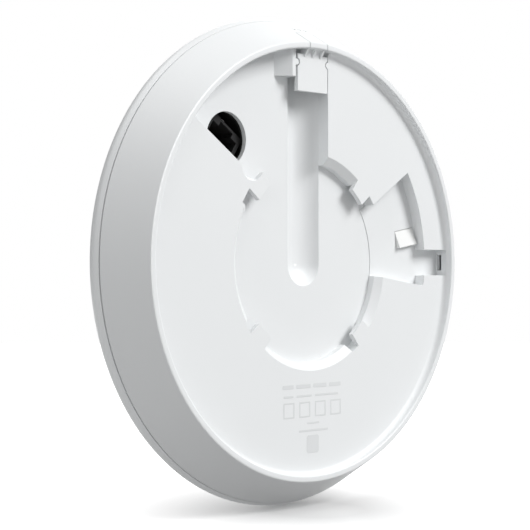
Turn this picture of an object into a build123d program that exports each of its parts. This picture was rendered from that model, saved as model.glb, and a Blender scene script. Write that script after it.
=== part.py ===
from build123d import *
from math import asin, cos, pi, radians, sin, sqrt
import os

# A round ceiling camera with a view all round it: a white puck that a bayonet
# bracket holds, and a shallow dome with the lens in its middle on the other side.
# Lengths are in mm. Everything is modelled lying flat with its back up: the
# ceiling plane is z = 0, the puck hangs below it, and the cable leaves at +Y.
# stand_up() then turns each piece on its edge, so that the back faces -Y and
# the cable leaves at +Z, as the camera hangs on a wall.

# Outside of the back housing
RIM_INNER_R = 68.7
RIM_TOP = 1.9
RIM_ROUND = 0.5
RIM_FOOT_FILLET = 1.6
SEAM_Z = -13.8
SIDE_WALL = 2.2
BACK_WALL = 2.0
PLATEAU_Z = -2.8
FLOOR_Z = -6.9
FLOOR_WALL = 1.8
POCKET_WALL = 1.6

# Front cover
SEAM_GAP = 0.3
EDGE_R = 80.6
EDGE_FLARE = 1.9
EDGE_Z = -17.1
EDGE_ROUND = 2.2
DOME_RISE = 21.5
COVER_WALL = 2.0
COVER_HOLE_R = 29.2

# Bayonet recess in the middle of the back
RECESS_R = 32.7
RECESS_Z = -7.1
RECESS_WALL_TOP_Z = -4.85
RECESS_CHAMFER = 2.45
RECESS_BOSS_WALL = 2.25
TAB_REACH = 1.9
TAB_THICKNESS = 1.7
TAB_HALF_ANGLE = 6.35
TAB_FIRST_ANGLE = 45.0
NOTCH_ANGLE = 6.0
NOTCH_DEPTH = 2.9
SIDE_NOTCH_ANGLE = 8.5

# Cable bay, groove and exit
GROOVE_HALF = 7.27
GROOVE_SAG = 4.0
GROOVE_END_Y = -0.6
BAY_EDGE_DISTANCE = 6.87
BAY_EDGE_NORMAL = 55.6
SCALLOP_R = 4.8
SCALLOP_FOOT_R = 2.6
SCALLOP_AT = (-26.9, 29.9)
PORT_AT = (-34.3, 38.1)
PORT_R = 8.4
PORT_COLLAR_WALL = 3.4
DOOR_SIDE_HALF = 4.3
DOOR_SIDE_DEPTH = 6.8
DOOR_TILE_LOW_Y = 55.0
DOOR_TILE_HIGH_Y = 66.9
DOOR_TILE_WALL = 1.5
DOOR_GAP = 0.35
DOOR_RIBS = 3
DOOR_RIB_WALL = 0.9
DOOR_RIB_REACH = 2.4
DOOR_NUB_Y = 64.2
DOOR_NUB_R = 1.0
LEDGE_TOP_WIDTH = 1.5
LEDGE_SLOPE_WIDTH = 4.3
LEDGE_LOW_Y = 59.5
LEDGE_Z = -3.0
DASH_COUNT = 3
DASH_LENGTH = 1.7
DASH_HEIGHT = 0.8
DASH_PITCH = 2.6
DASH_DEPTH = 0.5
DASH_FIRST_Z = -8.6

# Lock latch, its pocket and the release slot
POCKET_OVERLAP = 0.5
POCKET_OUTER_R = 57.0
POCKET_LOW_ANGLE = -8.3
POCKET_HIGH_ANGLE = 33.0
POCKET_CORNER = 1.4
BAND_HALF = 4.5
SLOT_HALF = 2.75
SLOT_TOP_Z = -4.7
SLOT_LOW_Z = -6.6
LATCH_ANGLE = 9.6
LATCH_R = 51.6
TOOTH_LENGTH = 9.4
TOOTH_WIDTH = 5.7
TOOTH_RISE = 1.6
LATCH_GAP = 0.15
LATCH_FLANGE = 1.4
LATCH_FLANGE_WALL = 1.4
LATCH_PIN = 1.0
LATCH_TRAVEL = 1.8
SPRING_R = 2.1
SPRING_WIRE = 0.45
SPRING_TURNS = 4
LATCH_SPRING_SPACE = LATCH_TRAVEL + LATCH_PIN + SPRING_TURNS * SPRING_WIRE
RETAINER_WALL = 1.4
RETAINER_ARM = 11.6
RETAINER_POST = 4.2

# Main board and what stands on it
BOARD_R = 60.0
BOARD_BACK_Z = -22.5
BOARD_WALL = 1.6
BOSS_R = 3.1
BOSS_PILOT_R = 1.0
BOSS_POLAR = [(54.0, -62.0), (54.0, -122.0), (54.0, 178.0), (51.0, 66.0)]
SCREW_HEAD_R = 2.3
SCREW_HEAD = 1.5
SCREW_SHANK = 7.0
SCREW_GAP = 0.1
SCREW_HOLE_R = 1.4
SPREADER_WALL = 1.5
SPREADER_INNER_R = 15.0
SPREADER_OUTER_R = 56.0
SPREADER_FROM = -152.0
SPREADER_TO = -10.0
PAD_WALL = 1.3
CHIP_WALL = 1.2
CHIP_SIDE = 15.0
CHIP_AT = (8.0, -34.0)
MEMORY_SIZE = (9.0, 12.0)
MEMORY_AT = [(-9.0, -32.0), (-22.0, -32.0)]
TRANSFORMER_SIZE = (13.0, 13.0, 10.5)
TRANSFORMER_AT = (29.5, 35.5)
CAPACITOR_R = 4.0
CAPACITOR_HEIGHT = 8.5
CAPACITOR_AT = [(-16.0, 52.5), (-16.0, 43.0)]
SHIELD_SIZE = (18.0, 22.0, 2.4)
SHIELD_AT = [(-41.0, 0.0), (41.0, 0.0)]

# Network port
BOOT_INNER_R = 10.6
BOOT_WALL = 1.2
BOOT_LIP = 0.8
JACK_SIZE = (14.6, 11.6)
JACK_MOUTH_Z = -9.6
JACK_SHIFT_Y = -0.6
JACK_CAVITY = (11.8, 6.9, 10.4)
JACK_KEY = (6.2, 1.6)
CONTACT_COUNT = 8
CONTACT_PITCH = 1.02
CONTACT_SIZE = (0.4, 0.5, 7.5)
SWITCH_SIDE = 3.4
SWITCH_HEIGHT = 8.0
SWITCH_SHIFT_Y = 7.0
BUTTON_R = 1.0
BUTTON_STANDS = 1.2
BUTTON_DEPTH = 2.4
BUTTON_TRAVEL = 0.3
BUTTON_GAP = 0.08

# Lens and sensor stack, on the axis
SPACER_HEIGHT = 1.6
SPACER_R = 2.0
CONNECTOR_SIZE = (14.0, 4.0)
CONNECTOR_AT = (0.0, -8.0)
SENSOR_BOARD_SIDE = 40.0
SENSOR_BOARD_WALL = 1.2
SENSOR_SIZE = (12.0, 10.0, 1.1)
HOLDER_SIZE = (36.0, 20.0)
HOLDER_HEIGHT = 4.4
HOLDER_WALL = 1.2
COLLAR_HEIGHT = 1.8
SLIDER_SIZE = (20.4, 9.8)
SLIDER_WALL = 0.8
SLIDER_TRAVEL = 9.8
SLIDER_GAP = 0.3
FILTER_SIDE = 7.6
SLIDER_FROM_SENSOR = 0.6
BARREL_R = 8.0
BARREL_BORE_R = 6.6
BARREL_GAP = 0.05
HOOD_R = 13.2
HOOD_LENGTH = 5.2
HOOD_BORE_R = 11.2
HOOD_FLOOR = 1.6
HOOD_LIP = 1.0
LENS_STANDS = 7.8
LENS_FLANGE = 1.5
LENS_HOLLOW_R = 7.5
LENS_HOLLOW_NECK_R = 5.6
LENS_WALL = 2.0
ELEMENT_WALL = 1.8

# Front window, status ring and night lights
BEZEL_WALL = 1.8
BEZEL_GAP = 0.1
BEZEL_RISE = 1.2
BEZEL_POST_R = 1.4
BEZEL_POSTS_AT = 23.6
LIGHT_RING_WIDTH = 1.9
LIGHT_RING_FLANGE = 1.4
NIGHT_BOARD_WALL = 0.8
NIGHT_BOARD_INNER_R = 14.6
NIGHT_BOARD_OUTER_R = 25.6
NIGHT_BOARD_DROP = 1.6
NIGHT_LIGHT_COUNT = 8
NIGHT_LIGHT_R = 1.6
NIGHT_LIGHTS_AT = 18.6
NIGHT_LIGHT_HEIGHT = 1.3

# Sound and seal
SPEAKER_R = 9.0
SPEAKER_AT = (0.0, -34.0)
SPEAKER_HEIGHT = 4.6
GRILLE_HOLE_R = 0.6
GRILLE_RING_R = 4.0
GRILLE_HOLES = 6
MICROPHONE_SIZE = (4.0, 3.0, 1.1)
MICROPHONE_AT = (0.0, 43.0)
MICROPHONE_SEAL_R = 2.2
MICROPHONE_HOLE_R = 0.6
SEAL_WIDTH = 0.8
SEAL_HEIGHT = 1.2
TONGUE_GAP = 0.5
TONGUE_ROOT = 3.4
TONGUE_WALL = 1.8
TONGUE_REACH = 2.2

# Places worked out from the sizes above
SEAM_R = EDGE_R - EDGE_FLARE
RECESS_CHAMFER_R = RECESS_R + RECESS_CHAMFER
RECESS_BOSS_R = RECESS_CHAMFER_R + RECESS_BOSS_WALL
TAB_INNER_R = RECESS_R - TAB_REACH
NOTCH_R = RECESS_R + NOTCH_DEPTH
POCKET_INNER_R = RECESS_R - POCKET_OVERLAP
BAY_Z = RECESS_Z
LENS_TOP_Z = EDGE_Z - DOME_RISE - LENS_STANDS
RIM_OUTER_R = RIM_INNER_R + RIM_TOP
GROOVE_R = (GROOVE_HALF**2 + GROOVE_SAG**2) / (2 * GROOVE_SAG)
GROOVE_CENTRE_Z = BAY_Z - GROOVE_SAG + GROOVE_R
CONE_SLOPE = (SEAM_R - RIM_OUTER_R) / -SEAM_Z
FLOOR_UNDER_Z = FLOOR_Z - FLOOR_WALL
RECESS_UNDER_Z = RECESS_Z - FLOOR_WALL
BACK_UNDER_Z = PLATEAU_Z - BACK_WALL
BOARD_FRONT_Z = BOARD_BACK_Z - BOARD_WALL
DOME_R = (EDGE_R**2 + DOME_RISE**2) / (2 * DOME_RISE)
DOME_CENTRE_Z = EDGE_Z - DOME_RISE + DOME_R
SENSOR_BOARD_Z = BOARD_FRONT_Z - SPACER_HEIGHT
SENSOR_Z = SENSOR_BOARD_Z - SENSOR_BOARD_WALL
SENSOR_FACE_Z = SENSOR_Z - SENSOR_SIZE[2]
HOLDER_FRONT_Z = SENSOR_Z - HOLDER_HEIGHT
SLIDER_Z = SENSOR_FACE_Z - SLIDER_FROM_SENSOR


def stand_up(shape):
    """Turns a piece from lying on its face to standing on its edge."""
    return Rot(90, 0, 0) * shape


def write(name, shape):
    """Writes one node as a STEP file, with one solid or a group of them."""
    solids = [stand_up(s) for s in shape.solids()]
    whole = solids[0] if len(solids) == 1 else Compound(children=solids)
    export_step(whole, f"parts/{name}.step")


def prism(face, low, high):
    """A flat outline in XY, raised from one height to another."""
    return extrude(Pos(0, 0, low) * face, amount=high - low)


def turned(points, rounds=()):
    """A solid turned about Z from (radius, height) points, with rounded corners."""
    face = make_face(Polyline(*points, close=True))
    for corner, radius in rounds:
        vertex = face.vertices().sort_by_distance(Vector(*corner))[0]
        face = fillet(vertex, radius)
    return revolve(Plane.XZ * face, Axis.Z)


def ring(inner, outer, low, high):
    """A plain ring about Z."""
    return prism(Circle(outer) - Circle(inner), low, high)


def disc(radius, low, high, at=(0, 0)):
    """A plain cylinder along Z."""
    return prism(Pos(*at) * Circle(radius), low, high)


def block(size_x, size_y, low, high, at=(0, 0)):
    """A plain block, centred on a place in XY."""
    return prism(Pos(*at) * Rectangle(size_x, size_y), low, high)


def sector(inner, outer, start, end):
    """A flat outline between two radii and two angles, in degrees."""
    near = CenterArc((0, 0), inner, start, end - start)
    far = CenterArc((0, 0), outer, start, end - start)
    sides = [Line(near @ 0, far @ 0), Line(near @ 1, far @ 1)]
    return make_face(Curve() + [near, far, *sides])


def polar(radius, angle):
    """The place in XY at a radius and an angle in degrees."""
    return (radius * cos(radians(angle)), radius * sin(radians(angle)))


def dome_z(radius, depth=0.0):
    """Height of the dome, or of the sphere a depth inside it, at a radius."""
    return DOME_CENTRE_Z - sqrt((DOME_R - depth) ** 2 - radius**2)


# ---- back housing ----------------------------------------------------------


def skin():
    """The thin back shell before its pockets: plateau, rim and flared side."""
    inner_top_r = RIM_OUTER_R - BACK_UNDER_Z * CONE_SLOPE - SIDE_WALL
    points = [
        (0, PLATEAU_Z),
        (RIM_INNER_R, PLATEAU_Z),
        (RIM_INNER_R, 0),
        (RIM_OUTER_R, 0),
        (SEAM_R, SEAM_Z),
        (SEAM_R - SIDE_WALL, SEAM_Z),
        (inner_top_r, BACK_UNDER_Z),
        (0, BACK_UNDER_Z),
    ]
    rounds = [
        ((RIM_INNER_R, PLATEAU_Z), RIM_FOOT_FILLET),
        ((RIM_INNER_R, 0), RIM_ROUND),
        ((RIM_OUTER_R, 0), RIM_ROUND),
    ]
    return turned(points, rounds)


def bay_outline(grow=0.0):
    """The open floor between the groove's right side and the slanting edge."""
    normal = Vector(*polar(1, BAY_EDGE_NORMAL))
    along = Vector(-normal.Y, normal.X)
    start = normal * (BAY_EDGE_DISTANCE - grow)
    right = GROOVE_HALF + grow
    corner = start - along * ((right - start.X) / -along.X)
    reach = 2 * RIM_INNER_R
    far = start + along * reach
    corners = [corner, (right, reach), (-reach, reach), far]
    outline = make_face(Polyline(*corners, close=True))
    return outline & Circle(RIM_INNER_R + grow)


def groove(grow=0.0, top=PLATEAU_Z):
    """The cable groove, a shallow arc across, with a round end past the middle."""
    radius = GROOVE_R + grow
    reach = GROOVE_HALF + grow
    turn = asin(reach / radius) * 180 / pi
    bottom = (0, GROOVE_CENTRE_Z - radius)
    arc = CenterArc((0, GROOVE_CENTRE_Z), radius, -90, turn)
    side = Polyline(arc @ 1, (reach, top), (0, top), bottom)
    half = Plane.XZ * make_face(Curve() + [arc, side])
    whole = half + mirror(half, Plane.YZ)
    run = extrude(whole, amount=-(RIM_INNER_R - GROOVE_END_Y))
    end = revolve(half, Axis.Z)
    return Pos(0, GROOVE_END_Y, 0) * (run + end)


def latch_pocket_outline(grow=0.0):
    """The pocket beside the recess that the bracket's lock runs in."""
    swing = grow / POCKET_INNER_R * 180 / pi
    fan = sector(
        POCKET_INNER_R - grow,
        POCKET_OUTER_R + grow,
        POCKET_LOW_ANGLE - swing,
        POCKET_HIGH_ANGLE + swing,
    )
    corner_at = polar(POCKET_OUTER_R + grow, POCKET_LOW_ANGLE - swing)
    corner = fan.vertices().sort_by_distance(Vector(*corner_at))[0]
    fan = fillet(corner, POCKET_CORNER + grow)
    middle = (POCKET_OUTER_R + RIM_INNER_R) / 2 - POCKET_WALL
    band = Pos(middle, 0) * Rectangle(
        RIM_INNER_R - POCKET_OUTER_R + 4 * POCKET_WALL, 2 * (BAND_HALF + grow)
    )
    return fan + (band & Circle(RIM_INNER_R + grow))


def scallop():
    """A bevelled bite in the bay's slanting edge, to get a finger to the plug."""
    depth = PLATEAU_Z - BAY_Z
    return Pos(*SCALLOP_AT, PLATEAU_Z - depth / 2) * Cone(
        SCALLOP_FOOT_R, SCALLOP_R, depth + 0.02
    )


def recess_cut():
    """The bayonet recess with its chamfered mouth."""
    return turned(
        [
            (0, RECESS_Z),
            (RECESS_R, RECESS_Z),
            (RECESS_R, RECESS_WALL_TOP_Z),
            (RECESS_CHAMFER_R, PLATEAU_Z),
            (RECESS_CHAMFER_R, 1),
            (0, 1),
        ]
    )


def tab_angles():
    """Where the four bayonet tabs are centred, in degrees."""
    return [TAB_FIRST_ANGLE + 90 * turn for turn in range(4)]


def recess_tabs():
    """Four tabs that reach in over the recess, flush with the plateau."""
    tabs = []
    for angle in tab_angles():
        outline = sector(
            TAB_INNER_R, RECESS_CHAMFER_R + 0.6, angle - TAB_HALF_ANGLE, angle + TAB_HALF_ANGLE
        )
        tabs.append(prism(outline, PLATEAU_Z - TAB_THICKNESS, PLATEAU_Z))
    return tabs


def recess_notches():
    """Each tab's way in, and the space under the tab that it leads to."""
    cuts = []
    for angle in tab_angles():
        low = angle - TAB_HALF_ANGLE
        way_in = sector(RECESS_R - 2, NOTCH_R, low - NOTCH_ANGLE, low)
        under = sector(RECESS_R - 2, NOTCH_R, low - 0.5, angle + TAB_HALF_ANGLE)
        cuts.append(prism(way_in, RECESS_Z, PLATEAU_Z + 1))
        cuts.append(prism(under, RECESS_Z, PLATEAU_Z - TAB_THICKNESS))
    side = tab_angles()[1] + TAB_HALF_ANGLE
    extra = sector(RECESS_R - 2, NOTCH_R + 0.8, side, side + SIDE_NOTCH_ANGLE)
    cuts.append(prism(extra, RECESS_Z, PLATEAU_Z + 1))
    return cuts


def door_ledge():
    """The sloped step beside the cable door that carries one of its nubs."""
    right = -GROOVE_HALF - DOOR_GAP
    top_left = right - LEDGE_TOP_WIDTH
    foot = top_left - LEDGE_SLOPE_WIDTH
    corners = [(foot, BAY_Z), (top_left, LEDGE_Z), (right, LEDGE_Z), (right, BAY_Z)]
    section = make_face(Polyline(*corners, close=True))
    reach = RIM_INNER_R + 1 - LEDGE_LOW_Y
    step = Pos(0, LEDGE_LOW_Y, 0) * extrude(Plane.XZ * section, amount=-reach)
    return step & disc(RIM_INNER_R + 1, BAY_Z, 0)


def door_nubs():
    """Small half-round nubs either side of the door's tile."""
    left = disc(DOOR_NUB_R, BAY_Z, LEDGE_Z, (-GROOVE_HALF, DOOR_NUB_Y))
    right = disc(DOOR_NUB_R, BACK_UNDER_Z, PLATEAU_Z, (GROOVE_HALF, DOOR_NUB_Y))
    return left, right


def door_opening(gap=0.0):
    """The notch in rim and side wall that the cable door closes."""
    width = 2 * (DOOR_SIDE_HALF - gap)
    low = -DOOR_SIDE_DEPTH + gap
    reach = SEAM_R - LEDGE_LOW_Y
    return block(width, reach, low, 1, (0, LEDGE_LOW_Y + reach / 2))


def side_dashes():
    """Short grip dashes on the side wall below the cable door."""
    cuts = []
    for step in range(DASH_COUNT):
        z = DASH_FIRST_Z
        x = (step - (DASH_COUNT - 1) / 2) * DASH_PITCH
        outer = RIM_OUTER_R - z * CONE_SLOPE
        cuts.append(
            block(DASH_LENGTH, 2 * DASH_DEPTH, z - DASH_HEIGHT, z, (x, outer))
        )
    return cuts


def latch_frame():
    """A place under the latch pocket, X outward through the lock tooth."""
    x, y = polar(LATCH_R, LATCH_ANGLE)
    return Pos(x, y, 0) * Rot(0, 0, LATCH_ANGLE)


def board_bosses():
    """Screw bosses that carry the main board."""
    posts = []
    for radius, angle in BOSS_POLAR:
        at = polar(radius, angle)
        posts.append(disc(BOSS_R, BOARD_BACK_Z, PLATEAU_Z - BACK_WALL / 2, at))
    return posts


def retainer_posts(radius):
    """Two posts either side of the lock tooth that hold the spring's bridge."""
    low = retainer_top_z()
    posts = []
    for side in (-1, 1):
        post = disc(radius, low, FLOOR_Z - FLOOR_WALL / 2, (0, side * RETAINER_ARM))
        posts.append(latch_frame() * post)
    return posts


def retainer_top_z():
    """Height at which the spring's bridge lies against its posts."""
    return FLOOR_UNDER_Z - LATCH_GAP - LATCH_FLANGE_WALL - LATCH_SPRING_SPACE


def back_housing():
    body = skin()
    body += disc(RECESS_BOSS_R, RECESS_UNDER_Z, PLATEAU_Z)
    body += prism(bay_outline(POCKET_WALL), FLOOR_UNDER_Z, PLATEAU_Z)
    body += prism(latch_pocket_outline(POCKET_WALL), FLOOR_UNDER_Z, PLATEAU_Z)
    body += disc(PORT_R + PORT_COLLAR_WALL, FLOOR_UNDER_Z, PLATEAU_Z - 0.5, PORT_AT)
    body += groove(POCKET_WALL) & disc(RIM_INNER_R + POCKET_WALL, 4 * FLOOR_Z, 0)
    tongue_r = SEAM_R - SIDE_WALL - TONGUE_GAP
    tongue_root_z = SEAM_Z + TONGUE_ROOT
    body += ring(tongue_r - TONGUE_WALL, tongue_r, SEAM_Z - TONGUE_REACH, tongue_root_z)
    for post in board_bosses() + retainer_posts(RETAINER_POST / 2):
        body += post

    body -= groove(top=PLATEAU_Z + 0.5) & disc(RIM_INNER_R, 4 * FLOOR_Z, 1)
    body -= recess_cut()
    body -= prism(bay_outline(), BAY_Z, 1)
    body -= prism(latch_pocket_outline(), FLOOR_Z, PLATEAU_Z + 0.5)
    body -= scallop()
    for cut in recess_notches():
        body -= cut
    for tab in recess_tabs():
        body += tab
    body -= disc(PORT_R, FLOOR_UNDER_Z - 1, BAY_Z, PORT_AT)
    body += door_ledge()
    for nub in door_nubs():
        body += nub
    body -= door_opening()
    for cut in side_dashes():
        body -= cut
    slot_length = SEAM_R - POCKET_OUTER_R
    body -= block(
        slot_length,
        2 * SLOT_HALF,
        SLOT_LOW_Z,
        SLOT_TOP_Z,
        (RIM_INNER_R - 1 + slot_length / 2, 0),
    )
    window = Rectangle(TOOTH_LENGTH + 2 * LATCH_GAP, TOOTH_WIDTH + 2 * LATCH_GAP)
    body -= latch_frame() * prism(window, FLOOR_UNDER_Z - 1, FLOOR_Z + 1)
    for radius, angle in BOSS_POLAR:
        pilot_top = BOARD_BACK_Z + SCREW_SHANK
        body -= disc(BOSS_PILOT_R, BOARD_BACK_Z - 1, pilot_top, polar(radius, angle))
    return body


# ---- cable door --------------------------------------------------------------


def cable_door():
    """A pull-off panel: a tile over the groove and a piece of rim and side."""
    side = skin() & door_opening(DOOR_GAP)
    side &= block(4 * SEAM_R, 4 * SEAM_R, 2 * FLOOR_Z, 1, (0, 2 * SEAM_R + DOOR_TILE_HIGH_Y))
    width = 2 * (GROOVE_HALF - DOOR_GAP)
    height = DOOR_TILE_HIGH_Y - DOOR_TILE_LOW_Y
    middle = (DOOR_TILE_HIGH_Y + DOOR_TILE_LOW_Y) / 2
    tile = block(width, height, PLATEAU_Z - DOOR_TILE_WALL, PLATEAU_Z, (0, middle))
    tile &= disc(RIM_INNER_R - DOOR_GAP, 2 * FLOOR_Z, 1)
    for side_x in (-1, 1):
        tile -= disc(
            DOOR_NUB_R + DOOR_GAP, 2 * FLOOR_Z, 1, (side_x * GROOVE_HALF, DOOR_NUB_Y)
        )
    door = side + tile
    for step in range(DOOR_RIBS):
        x = (step - (DOOR_RIBS - 1) / 2) * (DOOR_SIDE_HALF - 0.7)
        foot = DOOR_TILE_HIGH_Y - 1
        rib = make_face(
            Polyline(
                (foot, PLATEAU_Z - DOOR_TILE_WALL),
                (foot, PLATEAU_Z),
                (RIM_INNER_R + DOOR_RIB_REACH / 4, -RIM_ROUND),
                (RIM_INNER_R + DOOR_RIB_REACH, -2 * RIM_ROUND),
                (RIM_INNER_R + DOOR_RIB_REACH, PLATEAU_Z - DOOR_TILE_WALL),
                close=True,
            )
        )
        door += Pos(x - DOOR_RIB_WALL / 2, 0, 0) * extrude(Plane.YZ * rib, amount=DOOR_RIB_WALL)
    return door


# ---- lock latch ----------------------------------------------------------------


def lock_latch():
    """A ramped tooth on a flanged plate, held up by a spring."""
    top = FLOOR_UNDER_Z - LATCH_GAP
    plate = block(
        TOOTH_LENGTH + 2 * LATCH_FLANGE,
        TOOTH_WIDTH + 2 * LATCH_FLANGE,
        top - LATCH_FLANGE_WALL,
        top,
    )
    half = TOOTH_WIDTH / 2
    ramp = make_face(
        Polyline(
            (-half, top - LATCH_FLANGE_WALL / 2),
            (-half, FLOOR_Z + TOOTH_RISE),
            (half, FLOOR_Z),
            (half, top - LATCH_FLANGE_WALL / 2),
            close=True,
        )
    )
    tooth = Pos(-TOOTH_LENGTH / 2, 0, 0) * extrude(Plane.YZ * ramp, amount=TOOTH_LENGTH)
    pin = disc(SPRING_R - SPRING_WIRE - 0.2, top - LATCH_FLANGE_WALL - LATCH_PIN, top - 0.5)
    return latch_frame() * (plate + tooth + pin)


def latch_spring():
    """A small compression coil under the latch."""
    low = retainer_top_z() + SPRING_WIRE / 2 + 0.05
    high = retainer_top_z() + LATCH_SPRING_SPACE - SPRING_WIRE / 2 - 0.05
    pitch = (high - low) / SPRING_TURNS
    path = Pos(0, 0, low) * Helix(pitch, high - low, SPRING_R - SPRING_WIRE / 2)
    start = Plane(origin=path @ 0, z_dir=path % 0)
    return latch_frame() * sweep(start * Circle(SPRING_WIRE / 2), path)


def latch_retainer():
    """A flat steel bridge across the two posts, under the spring."""
    top = retainer_top_z()
    outline = Rectangle(2 * SPRING_R + 3, 2 * RETAINER_ARM + RETAINER_POST + 1)
    bridge = prism(fillet(outline.vertices(), 2), top - RETAINER_WALL, top)
    return latch_frame() * bridge


# ---- main board ------------------------------------------------------------------


def main_board():
    board = disc(BOARD_R, BOARD_FRONT_Z, BOARD_BACK_Z)
    for radius, angle in BOSS_POLAR:
        board -= disc(SCREW_HOLE_R, BOARD_FRONT_Z - 1, BOARD_BACK_Z + 1, polar(radius, angle))
    return board


def board_screws():
    screws = []
    for radius, angle in BOSS_POLAR:
        at = polar(radius, angle)
        head = disc(SCREW_HEAD_R, BOARD_FRONT_Z - SCREW_HEAD, BOARD_FRONT_Z, at)
        tip = BOARD_BACK_Z + SCREW_SHANK - 1.5
        shank = disc(BOSS_PILOT_R - SCREW_GAP / 2, BOARD_FRONT_Z - SCREW_HEAD / 2, tip, at)
        socket = disc(SCREW_HEAD_R * 0.45, BOARD_FRONT_Z - SCREW_HEAD - 1, BOARD_FRONT_Z - 0.8, at)
        screws.append(head + shank - socket)
    return Compound(children=screws)


def heat_spreader():
    """A cut aluminium plate behind the board, clear of its screw bosses."""
    outline = sector(SPREADER_INNER_R, SPREADER_OUTER_R, SPREADER_FROM, SPREADER_TO)
    low = BOARD_BACK_Z + CHIP_WALL + PAD_WALL
    plate = prism(outline, low, low + SPREADER_WALL)
    for radius, angle in BOSS_POLAR:
        plate -= disc(BOSS_R + 0.4, low - 1, low + SPREADER_WALL + 1, polar(radius, angle))
    return plate


def processor():
    return block(CHIP_SIDE, CHIP_SIDE, BOARD_BACK_Z, BOARD_BACK_Z + CHIP_WALL, CHIP_AT)


def thermal_pad():
    low = BOARD_BACK_Z + CHIP_WALL
    return block(CHIP_SIDE - 1, CHIP_SIDE - 1, low, low + PAD_WALL, CHIP_AT)


def memory_chips():
    chips = [block(*MEMORY_SIZE, BOARD_BACK_Z, BOARD_BACK_Z + CHIP_WALL, at) for at in MEMORY_AT]
    return Compound(children=chips)


def power_transformer():
    length, width, height = TRANSFORMER_SIZE
    core = block(length, width, BOARD_BACK_Z, BOARD_BACK_Z + height, TRANSFORMER_AT)
    waist = height / 3
    winding_low = BOARD_BACK_Z + waist
    for side in (-1, 1):
        at = (TRANSFORMER_AT[0], TRANSFORMER_AT[1] + side * width / 2)
        core -= block(length * 0.6, 2.4, winding_low, winding_low + waist, at)
    return core


def capacitors():
    cans = []
    for at in CAPACITOR_AT:
        can = disc(CAPACITOR_R, BOARD_BACK_Z, BOARD_BACK_Z + CAPACITOR_HEIGHT, at)
        cans.append(fillet(can.edges().sort_by(Axis.Z)[-1], 0.6))
    return Compound(children=cans)


def shield_cans():
    length, width, height = SHIELD_SIZE
    cans = []
    for at in SHIELD_AT:
        can = block(length, width, BOARD_FRONT_Z - height, BOARD_FRONT_Z, at)
        can = fillet(can.edges().filter_by(Axis.Z), 1.0)
        inside = block(length - 0.8, width - 0.8, BOARD_FRONT_Z - height + 0.4, BOARD_FRONT_Z + 1, at)
        cans.append(can - inside)
    return Compound(children=cans)


# ---- network port --------------------------------------------------------------------


def port_boot():
    """A black rubber sleeve from the port hole down to the board."""
    sleeve = ring(BOOT_INNER_R, BOOT_INNER_R + BOOT_WALL, BOARD_BACK_Z, FLOOR_UNDER_Z)
    lip = ring(PORT_R, BOOT_INNER_R + BOOT_WALL, FLOOR_UNDER_Z - BOOT_LIP, FLOOR_UNDER_Z)
    return Pos(*PORT_AT) * (sleeve + lip)


def port_frame():
    """The port's place, with Y square to the bay's slanting edge."""
    return Pos(*PORT_AT) * Rot(0, 0, BAY_EDGE_NORMAL - 90)


def network_jack():
    """An upright eight-contact network jack, open towards the port hole."""
    at = (0, JACK_SHIFT_Y)
    length, width, depth = JACK_CAVITY
    key_length, key_depth = JACK_KEY
    floor = JACK_MOUTH_Z - depth
    body = block(*JACK_SIZE, BOARD_BACK_Z, JACK_MOUTH_Z, at)
    body -= block(length, width, floor, JACK_MOUTH_Z + 1, at)
    body -= block(key_length, 2 * key_depth, floor, JACK_MOUTH_Z + 1, (0, JACK_SHIFT_Y + width / 2))
    return port_frame() * body


def jack_contacts():
    """Gold spring contacts along one wall of the jack."""
    width, thickness, length = CONTACT_SIZE
    y = JACK_SHIFT_Y - JACK_CAVITY[1] / 2 + thickness / 2
    low = JACK_MOUTH_Z - JACK_CAVITY[2]
    wires = []
    for step in range(CONTACT_COUNT):
        x = (step - (CONTACT_COUNT - 1) / 2) * CONTACT_PITCH
        wires.append(port_frame() * block(width, thickness, low, low + length, (x, y)))
    return Compound(children=wires)


def reset_switch():
    """The reset button's housing, on the board beside the jack."""
    top = BOARD_BACK_Z + SWITCH_HEIGHT
    at = (0, SWITCH_SHIFT_Y)
    well = top - BUTTON_DEPTH - BUTTON_TRAVEL - BUTTON_GAP
    body = block(SWITCH_SIDE, SWITCH_SIDE, BOARD_BACK_Z, top, at)
    return port_frame() * (body - disc(BUTTON_R + BUTTON_GAP, well, top + 1, at))


def reset_button():
    top = BOARD_BACK_Z + SWITCH_HEIGHT
    button = disc(BUTTON_R, top - BUTTON_DEPTH, top + BUTTON_STANDS, (0, SWITCH_SHIFT_Y))
    return port_frame() * fillet(button.edges().sort_by(Axis.Z)[-1], 0.3)


# ---- lens and sensor --------------------------------------------------------------------


def sensor_board():
    return block(SENSOR_BOARD_SIDE, SENSOR_BOARD_SIDE, SENSOR_Z, SENSOR_BOARD_Z)


def board_spacers():
    reach = SENSOR_BOARD_SIDE / 2 - SPACER_R - 0.6
    corners = [(x * reach, y * reach) for x in (-1, 1) for y in (-1, 1)]
    return Compound(children=[disc(SPACER_R, SENSOR_BOARD_Z, BOARD_FRONT_Z, at) for at in corners])


def sensor_connector():
    return block(*CONNECTOR_SIZE, SENSOR_BOARD_Z, BOARD_FRONT_Z, CONNECTOR_AT)


def image_sensor():
    return block(*SENSOR_SIZE[:2], SENSOR_FACE_Z, SENSOR_Z)


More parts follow.
